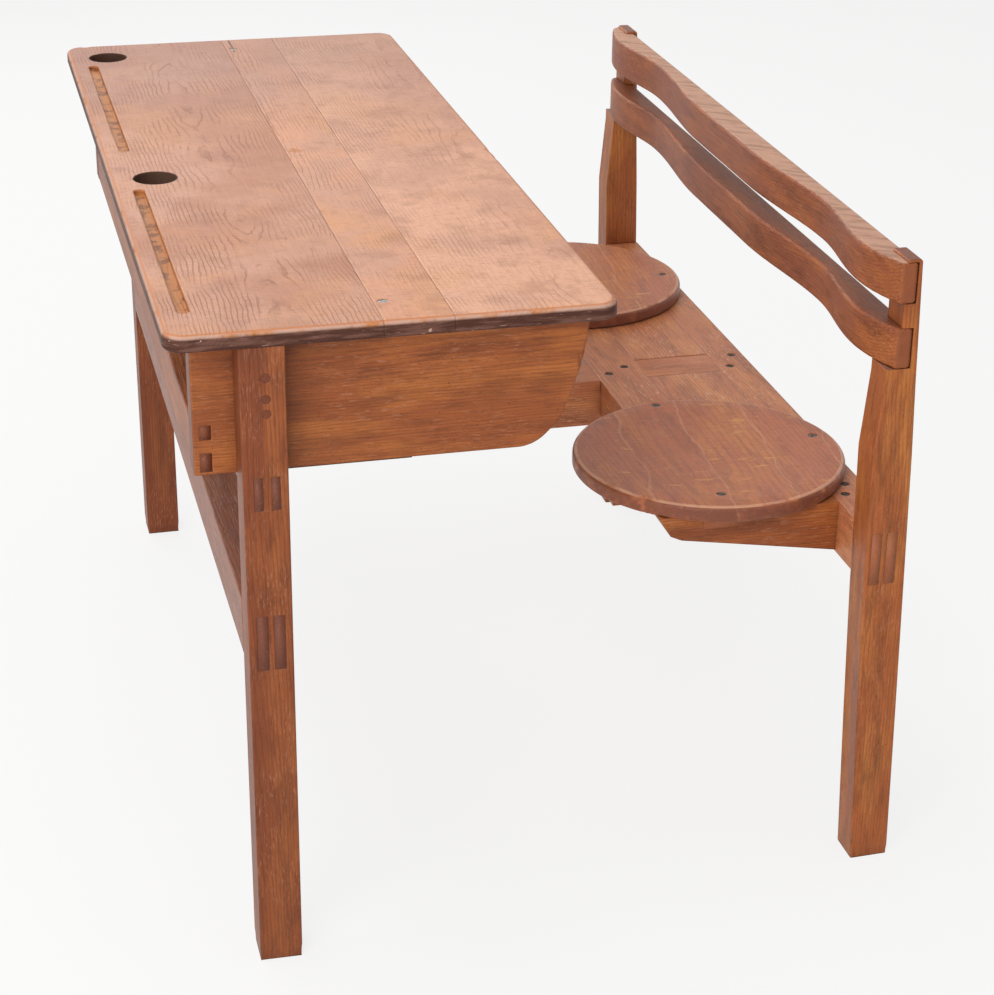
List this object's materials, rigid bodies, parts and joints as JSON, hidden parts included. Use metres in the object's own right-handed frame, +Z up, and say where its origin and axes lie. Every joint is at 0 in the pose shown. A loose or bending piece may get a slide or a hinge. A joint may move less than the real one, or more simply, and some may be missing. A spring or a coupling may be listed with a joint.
{
  "type": "school desk with attached bench",
  "caption": "Wooden school desk with an open book box under a fixed top, joined by a beam to round seats with a waved back rail.",
  "frame": {"origin": "at floor level, in the middle of the desk's length and of its depth from the top's front edge to the rear legs' heels", "axes": "+X along the desk's length, towards the seated pupils' right hand; +Y away from the pupils, from the bench to the desk's front; +Z up"},
  "size_m": [1.15, 0.817, 0.735],
  "materials": {
    "desktop_wood": "satin varnish, worn",
    "frame_wood": "gloss varnish, worn",
    "seat_wood": "satin varnish, worn",
    "back_wood": "satin varnish, worn",
    "shelf_wood": "oiled",
    "dowel_wood": "end grain, varnished",
    "screw_steel": "dulled steel"
  },
  "bodies": {
    "root": {"desk_top_board_pupil": "desktop_wood", "desk_top_board_middle": "desktop_wood", "desk_top_board_front": "desktop_wood", "front_leg_left": "frame_wood", "front_leg_right": "frame_wood", "upper_rail": "frame_wood", "stretcher": "frame_wood", "cheek_left": "frame_wood", "cheek_right": "frame_wood", "box_front_rail": "frame_wood", "book_shelf": "shelf_wood", "box_partition": "shelf_wood", "shelf_cleat_left": "frame_wood", "shelf_cleat_right": "frame_wood", "cheek_dowels": "dowel_wood", "centre_beam": "frame_wood", "seat_rear_rail": "frame_wood", "seat_front_rail": "frame_wood", "seat_arm_left": "frame_wood", "seat_arm_right": "frame_wood", "seat_board_left": "seat_wood", "seat_board_right": "seat_wood", "seat_cleat_left": "frame_wood", "seat_cleat_right": "frame_wood", "seat_disc_left": "seat_wood", "seat_disc_right": "seat_wood", "rear_leg_left": "frame_wood", "rear_leg_right": "frame_wood", "back_rail_lower": "back_wood", "back_rail_upper": "back_wood", "desk_top_screws": "screw_steel", "seat_disc_screws": "screw_steel", "centre_beam_screws": "screw_steel", "seat_arm_screws": "screw_steel", "back_rail_screws": "screw_steel"}
  },
  "joints": []
}
